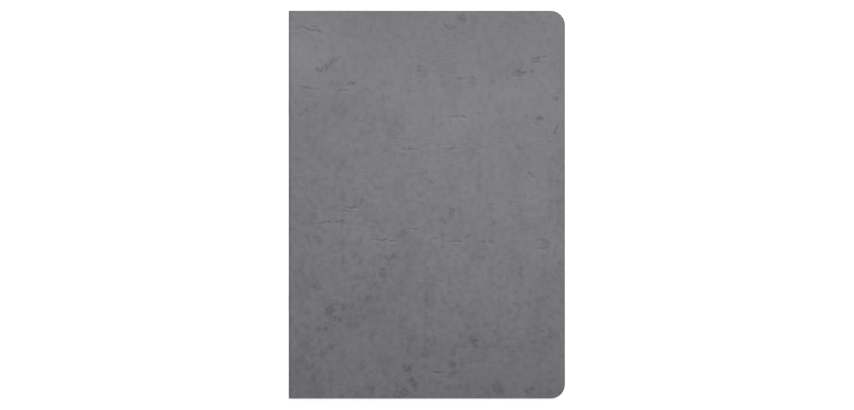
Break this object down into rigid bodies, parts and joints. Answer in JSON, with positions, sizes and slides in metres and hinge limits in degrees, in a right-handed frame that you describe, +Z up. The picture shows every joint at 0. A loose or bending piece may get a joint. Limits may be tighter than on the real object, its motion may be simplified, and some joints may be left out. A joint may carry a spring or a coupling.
{
  "type": "stapled exercise book",
  "caption": "Soft-cover exercise book: folded sheets stapled through the spine inside a grey leather-look card cover with rounded fore-edge corners; cover and pages open.",
  "frame": {"origin": "middle of the closed book seen from above, on the surface that the back cover lies on", "axes": "+X from the spine to the fore-edge, +Y from tail to head, +Z up out of the front cover"},
  "size_m": [0.2118, 0.297, 0.0052],
  "materials": {
    "cover_card": "matte leather-look embossed card, mottled mid grey",
    "page_paper": "uncoated off-white writing paper",
    "staple_wire": "bright galvanised wire"
  },
  "bodies": {
    "back_cover": {"back_cover": "cover_card"},
    "bound_spine": {"cover_spine": "cover_card", "head_staple": "staple_wire", "tail_staple": "staple_wire", "sheet_01_fold": "page_paper", "sheet_02_fold": "page_paper", "sheet_03_fold": "page_paper", "sheet_04_fold": "page_paper", "sheet_05_fold": "page_paper", "sheet_06_fold": "page_paper", "sheet_07_fold": "page_paper", "sheet_08_fold": "page_paper", "sheet_09_fold": "page_paper", "sheet_10_fold": "page_paper", "sheet_11_fold": "page_paper", "sheet_12_fold": "page_paper", "sheet_13_fold": "page_paper", "sheet_14_fold": "page_paper", "sheet_15_fold": "page_paper", "sheet_16_fold": "page_paper"},
    "sheet_01_rear_leaf": {"sheet_01_rear_leaf": "page_paper"},
    "sheet_02_rear_leaf": {"sheet_02_rear_leaf": "page_paper"},
    "sheet_03_rear_leaf": {"sheet_03_rear_leaf": "page_paper"},
    "sheet_04_rear_leaf": {"sheet_04_rear_leaf": "page_paper"},
    "sheet_05_rear_leaf": {"sheet_05_rear_leaf": "page_paper"},
    "sheet_06_rear_leaf": {"sheet_06_rear_leaf": "page_paper"},
    "sheet_07_rear_leaf": {"sheet_07_rear_leaf": "page_paper"},
    "sheet_08_rear_leaf": {"sheet_08_rear_leaf": "page_paper"},
    "sheet_09_rear_leaf": {"sheet_09_rear_leaf": "page_paper"},
    "sheet_10_rear_leaf": {"sheet_10_rear_leaf": "page_paper"},
    "sheet_11_rear_leaf": {"sheet_11_rear_leaf": "page_paper"},
    "sheet_12_rear_leaf": {"sheet_12_rear_leaf": "page_paper"},
    "sheet_13_rear_leaf": {"sheet_13_rear_leaf": "page_paper"},
    "sheet_14_rear_leaf": {"sheet_14_rear_leaf": "page_paper"},
    "sheet_15_rear_leaf": {"sheet_15_rear_leaf": "page_paper"},
    "sheet_16_rear_leaf": {"sheet_16_rear_leaf": "page_paper"},
    "sheet_01_front_leaf": {"sheet_01_front_leaf": "page_paper"},
    "sheet_02_front_leaf": {"sheet_02_front_leaf": "page_paper"},
    "sheet_03_front_leaf": {"sheet_03_front_leaf": "page_paper"},
    "sheet_04_front_leaf": {"sheet_04_front_leaf": "page_paper"},
    "sheet_05_front_leaf": {"sheet_05_front_leaf": "page_paper"},
    "sheet_06_front_leaf": {"sheet_06_front_leaf": "page_paper"},
    "sheet_07_front_leaf": {"sheet_07_front_leaf": "page_paper"},
    "sheet_08_front_leaf": {"sheet_08_front_leaf": "page_paper"},
    "sheet_09_front_leaf": {"sheet_09_front_leaf": "page_paper"},
    "sheet_10_front_leaf": {"sheet_10_front_leaf": "page_paper"},
    "sheet_11_front_leaf": {"sheet_11_front_leaf": "page_paper"},
    "sheet_12_front_leaf": {"sheet_12_front_leaf": "page_paper"},
    "sheet_13_front_leaf": {"sheet_13_front_leaf": "page_paper"},
    "sheet_14_front_leaf": {"sheet_14_front_leaf": "page_paper"},
    "sheet_15_front_leaf": {"sheet_15_front_leaf": "page_paper"},
    "sheet_16_front_leaf": {"sheet_16_front_leaf": "page_paper"},
    "front_cover": {"front_cover": "cover_card"}
  },
  "joints": [
    {"name": "spine_turn", "type": "hinge", "parent": "back_cover", "child": "bound_spine", "pos_m": [-0.10309, 0, 0.00262], "axis": [0, -1, 0], "range_deg": [0, 90.15]},
    {"name": "sheet_01_lift", "type": "hinge", "parent": "back_cover", "child": "sheet_01_rear_leaf", "pos_m": [-0.10309, 0, 0.00262], "axis": [0, -1, 0], "range_deg": [0, 0.2]},
    {"name": "sheet_01_opening", "type": "hinge", "parent": "sheet_01_rear_leaf", "child": "sheet_01_front_leaf", "pos_m": [-0.10309, 0, 0.00262], "axis": [0, -1, 0], "range_deg": [0, 179.9], "deforming": ["sheet_01_fold", "cover_spine"]},
    {"name": "sheet_02_lift", "type": "hinge", "parent": "back_cover", "child": "sheet_02_rear_leaf", "pos_m": [-0.10309, 0, 0.00262], "axis": [0, -1, 0], "range_deg": [0, 0.23]},
    {"name": "sheet_02_opening", "type": "hinge", "parent": "sheet_02_rear_leaf", "child": "sheet_02_front_leaf", "pos_m": [-0.10309, 0, 0.00262], "axis": [0, -1, 0], "range_deg": [0, 179.84], "deforming": ["sheet_02_fold"]},
    {"name": "sheet_03_lift", "type": "hinge", "parent": "back_cover", "child": "sheet_03_rear_leaf", "pos_m": [-0.10309, 0, 0.00262], "axis": [0, -1, 0], "range_deg": [0, 0.26]},
    {"name": "sheet_03_opening", "type": "hinge", "parent": "sheet_03_rear_leaf", "child": "sheet_03_front_leaf", "pos_m": [-0.10309, 0, 0.00262], "axis": [0, -1, 0], "range_deg": [0, 179.78], "deforming": ["sheet_03_fold"]},
    {"name": "sheet_04_lift", "type": "hinge", "parent": "back_cover", "child": "sheet_04_rear_leaf", "pos_m": [-0.10309, 0, 0.00262], "axis": [0, -1, 0], "range_deg": [0, 0.29]},
    {"name": "sheet_04_opening", "type": "hinge", "parent": "sheet_04_rear_leaf", "child": "sheet_04_front_leaf", "pos_m": [-0.10309, 0, 0.00262], "axis": [0, -1, 0], "range_deg": [0, 179.72], "deforming": ["sheet_04_fold"]},
    {"name": "sheet_05_lift", "type": "hinge", "parent": "back_cover", "child": "sheet_05_rear_leaf", "pos_m": [-0.10309, 0, 0.00262], "axis": [0, -1, 0], "range_deg": [0, 0.32]},
    {"name": "sheet_05_opening", "type": "hinge", "parent": "sheet_05_rear_leaf", "child": "sheet_05_front_leaf", "pos_m": [-0.10309, 0, 0.00262], "axis": [0, -1, 0], "range_deg": [0, 179.66], "deforming": ["sheet_05_fold"]},
    {"name": "sheet_06_lift", "type": "hinge", "parent": "back_cover", "child": "sheet_06_rear_leaf", "pos_m": [-0.10309, 0, 0.00262], "axis": [0, -1, 0], "range_deg": [0, 0.35]},
    {"name": "sheet_06_opening", "type": "hinge", "parent": "sheet_06_rear_leaf", "child": "sheet_06_front_leaf", "pos_m": [-0.10309, 0, 0.00262], "axis": [0, -1, 0], "range_deg": [0, 179.6], "deforming": ["sheet_06_fold"]},
    {"name": "sheet_07_lift", "type": "hinge", "parent": "back_cover", "child": "sheet_07_rear_leaf", "pos_m": [-0.10309, 0, 0.00262], "axis": [0, -1, 0], "range_deg": [0, 0.38]},
    {"name": "sheet_07_opening", "type": "hinge", "parent": "sheet_07_rear_leaf", "child": "sheet_07_front_leaf", "pos_m": [-0.10309, 0, 0.00262], "axis": [0, -1, 0], "range_deg": [0, 179.54], "deforming": ["sheet_07_fold"]},
    {"name": "sheet_08_lift", "type": "hinge", "parent": "back_cover", "child": "sheet_08_rear_leaf", "pos_m": [-0.10309, 0, 0.00262], "axis": [0, -1, 0], "range_deg": [0, 0.41]},
    {"name": "sheet_08_opening", "type": "hinge", "parent": "sheet_08_rear_leaf", "child": "sheet_08_front_leaf", "pos_m": [-0.10309, 0, 0.00262], "axis": [0, -1, 0], "range_deg": [0, 179.48], "deforming": ["sheet_08_fold"]},
    {"name": "sheet_09_lift", "type": "hinge", "parent": "back_cover", "child": "sheet_09_rear_leaf", "pos_m": [-0.10309, 0, 0.00262], "axis": [0, -1, 0], "range_deg": [0, 0.44]},
    {"name": "sheet_09_opening", "type": "hinge", "parent": "sheet_09_rear_leaf", "child": "sheet_09_front_leaf", "pos_m": [-0.10309, 0, 0.00262], "axis": [0, -1, 0], "range_deg": [0, 179.42], "deforming": ["sheet_09_fold"]},
    {"name": "sheet_10_lift", "type": "hinge", "parent": "back_cover", "child": "sheet_10_rear_leaf", "pos_m": [-0.10309, 0, 0.00262], "axis": [0, -1, 0], "range_deg": [0, 0.47]},
    {"name": "sheet_10_opening", "type": "hinge", "parent": "sheet_10_rear_leaf", "child": "sheet_10_front_leaf", "pos_m": [-0.10309, 0, 0.00262], "axis": [0, -1, 0], "range_deg": [0, 179.36], "deforming": ["sheet_10_fold"]},
    {"name": "sheet_11_lift", "type": "hinge", "parent": "back_cover", "child": "sheet_11_rear_leaf", "pos_m": [-0.10309, 0, 0.00262], "axis": [0, -1, 0], "range_deg": [0, 0.5]},
    {"name": "sheet_11_opening", "type": "hinge", "parent": "sheet_11_rear_leaf", "child": "sheet_11_front_leaf", "pos_m": [-0.10309, 0, 0.00262], "axis": [0, -1, 0], "range_deg": [0, 179.3], "deforming": ["sheet_11_fold"]},
    {"name": "sheet_12_lift", "type": "hinge", "parent": "back_cover", "child": "sheet_12_rear_leaf", "pos_m": [-0.10309, 0, 0.00262], "axis": [0, -1, 0], "range_deg": [0, 0.53]},
    {"name": "sheet_12_opening", "type": "hinge", "parent": "sheet_12_rear_leaf", "child": "sheet_12_front_leaf", "pos_m": [-0.10309, 0, 0.00262], "axis": [0, -1, 0], "range_deg": [0, 179.24], "deforming": ["sheet_12_fold"]},
    {"name": "sheet_13_lift", "type": "hinge", "parent": "back_cover", "child": "sheet_13_rear_leaf", "pos_m": [-0.10309, 0, 0.00262], "axis": [0, -1, 0], "range_deg": [0, 0.56]},
    {"name": "sheet_13_opening", "type": "hinge", "parent": "sheet_13_rear_leaf", "child": "sheet_13_front_leaf", "pos_m": [-0.10309, 0, 0.00262], "axis": [0, -1, 0], "range_deg": [0, 179.18], "deforming": ["sheet_13_fold"]},
    {"name": "sheet_14_lift", "type": "hinge", "parent": "back_cover", "child": "sheet_14_rear_leaf", "pos_m": [-0.10309, 0, 0.00262], "axis": [0, -1, 0], "range_deg": [0, 0.59]},
    {"name": "sheet_14_opening", "type": "hinge", "parent": "sheet_14_rear_leaf", "child": "sheet_14_front_leaf", "pos_m": [-0.10309, 0, 0.00262], "axis": [0, -1, 0], "range_deg": [0, 179.12], "deforming": ["sheet_14_fold"]},
    {"name": "sheet_15_lift", "type": "hinge", "parent": "back_cover", "child": "sheet_15_rear_leaf", "pos_m": [-0.10309, 0, 0.00262], "axis": [0, -1, 0], "range_deg": [0, 0.62]},
    {"name": "sheet_15_opening", "type": "hinge", "parent": "sheet_15_rear_leaf", "child": "sheet_15_front_leaf", "pos_m": [-0.10309, 0, 0.00262], "axis": [0, -1, 0], "range_deg": [0, 179.06], "deforming": ["sheet_15_fold"]},
    {"name": "sheet_16_lift", "type": "hinge", "parent": "back_cover", "child": "sheet_16_rear_leaf", "pos_m": [-0.10309, 0, 0.00262], "axis": [0, -1, 0], "range_deg": [0, 0.65]},
    {"name": "sheet_16_opening", "type": "hinge", "parent": "sheet_16_rear_leaf", "child": "sheet_16_front_leaf", "pos_m": [-0.10309, 0, 0.00262], "axis": [0, -1, 0], "range_deg": [0, 179], "deforming": ["sheet_16_fold"]},
    {"name": "front_cover_turn", "type": "hinge", "parent": "sheet_01_front_leaf", "child": "front_cover", "pos_m": [-0.09909, 0, 0.00537], "axis": [0, -1, 0], "range_deg": [0, 179.9]}
  ],
  "couplings": [
    {"joint": "spine_turn", "follows": "sheet_01_opening", "ratio": 0.50111},
    {"joint": "sheet_01_lift", "follows": "sheet_01_opening", "ratio": 0.0011117},
    {"joint": "sheet_02_lift", "follows": "sheet_01_opening", "ratio": 0.0012785},
    {"joint": "sheet_02_opening", "follows": "sheet_01_opening", "ratio": 0.99967},
    {"joint": "sheet_03_lift", "follows": "sheet_01_opening", "ratio": 0.0014452},
    {"joint": "sheet_03_opening", "follows": "sheet_01_opening", "ratio": 0.99933},
    {"joint": "sheet_04_lift", "follows": "sheet_01_opening", "ratio": 0.001612},
    {"joint": "sheet_04_opening", "follows": "sheet_01_opening", "ratio": 0.999},
    {"joint": "sheet_05_lift", "follows": "sheet_01_opening", "ratio": 0.0017788},
    {"joint": "sheet_05_opening", "follows": "sheet_01_opening", "ratio": 0.99867},
    {"joint": "sheet_06_lift", "follows": "sheet_01_opening", "ratio": 0.0019455},
    {"joint": "sheet_06_opening", "follows": "sheet_01_opening", "ratio": 0.99833},
    {"joint": "sheet_07_lift", "follows": "sheet_01_opening", "ratio": 0.0021123},
    {"joint": "sheet_07_opening", "follows": "sheet_01_opening", "ratio": 0.998},
    {"joint": "sheet_08_lift", "follows": "sheet_01_opening", "ratio": 0.002279},
    {"joint": "sheet_08_opening", "follows": "sheet_01_opening", "ratio": 0.99767},
    {"joint": "sheet_09_lift", "follows": "sheet_01_opening", "ratio": 0.0024458},
    {"joint": "sheet_09_opening", "follows": "sheet_01_opening", "ratio": 0.99733},
    {"joint": "sheet_10_lift", "follows": "sheet_01_opening", "ratio": 0.0026126},
    {"joint": "sheet_10_opening", "follows": "sheet_01_opening", "ratio": 0.997},
    {"joint": "sheet_11_lift", "follows": "sheet_01_opening", "ratio": 0.0027793},
    {"joint": "sheet_11_opening", "follows": "sheet_01_opening", "ratio": 0.99666},
    {"joint": "sheet_12_lift", "follows": "sheet_01_opening", "ratio": 0.0029461},
    {"joint": "sheet_12_opening", "follows": "sheet_01_opening", "ratio": 0.99633},
    {"joint": "sheet_13_lift", "follows": "sheet_01_opening", "ratio": 0.0031128},
    {"joint": "sheet_13_opening", "follows": "sheet_01_opening", "ratio": 0.996},
    {"joint": "sheet_14_lift", "follows": "sheet_01_opening", "ratio": 0.0032796},
    {"joint": "sheet_14_opening", "follows": "sheet_01_opening", "ratio": 0.99566},
    {"joint": "sheet_15_lift", "follows": "sheet_01_opening", "ratio": 0.0034464},
    {"joint": "sheet_15_opening", "follows": "sheet_01_opening", "ratio": 0.99533},
    {"joint": "sheet_16_lift", "follows": "sheet_01_opening", "ratio": 0.0036131},
    {"joint": "sheet_16_opening", "follows": "sheet_01_opening", "ratio": 0.995}
  ]
}
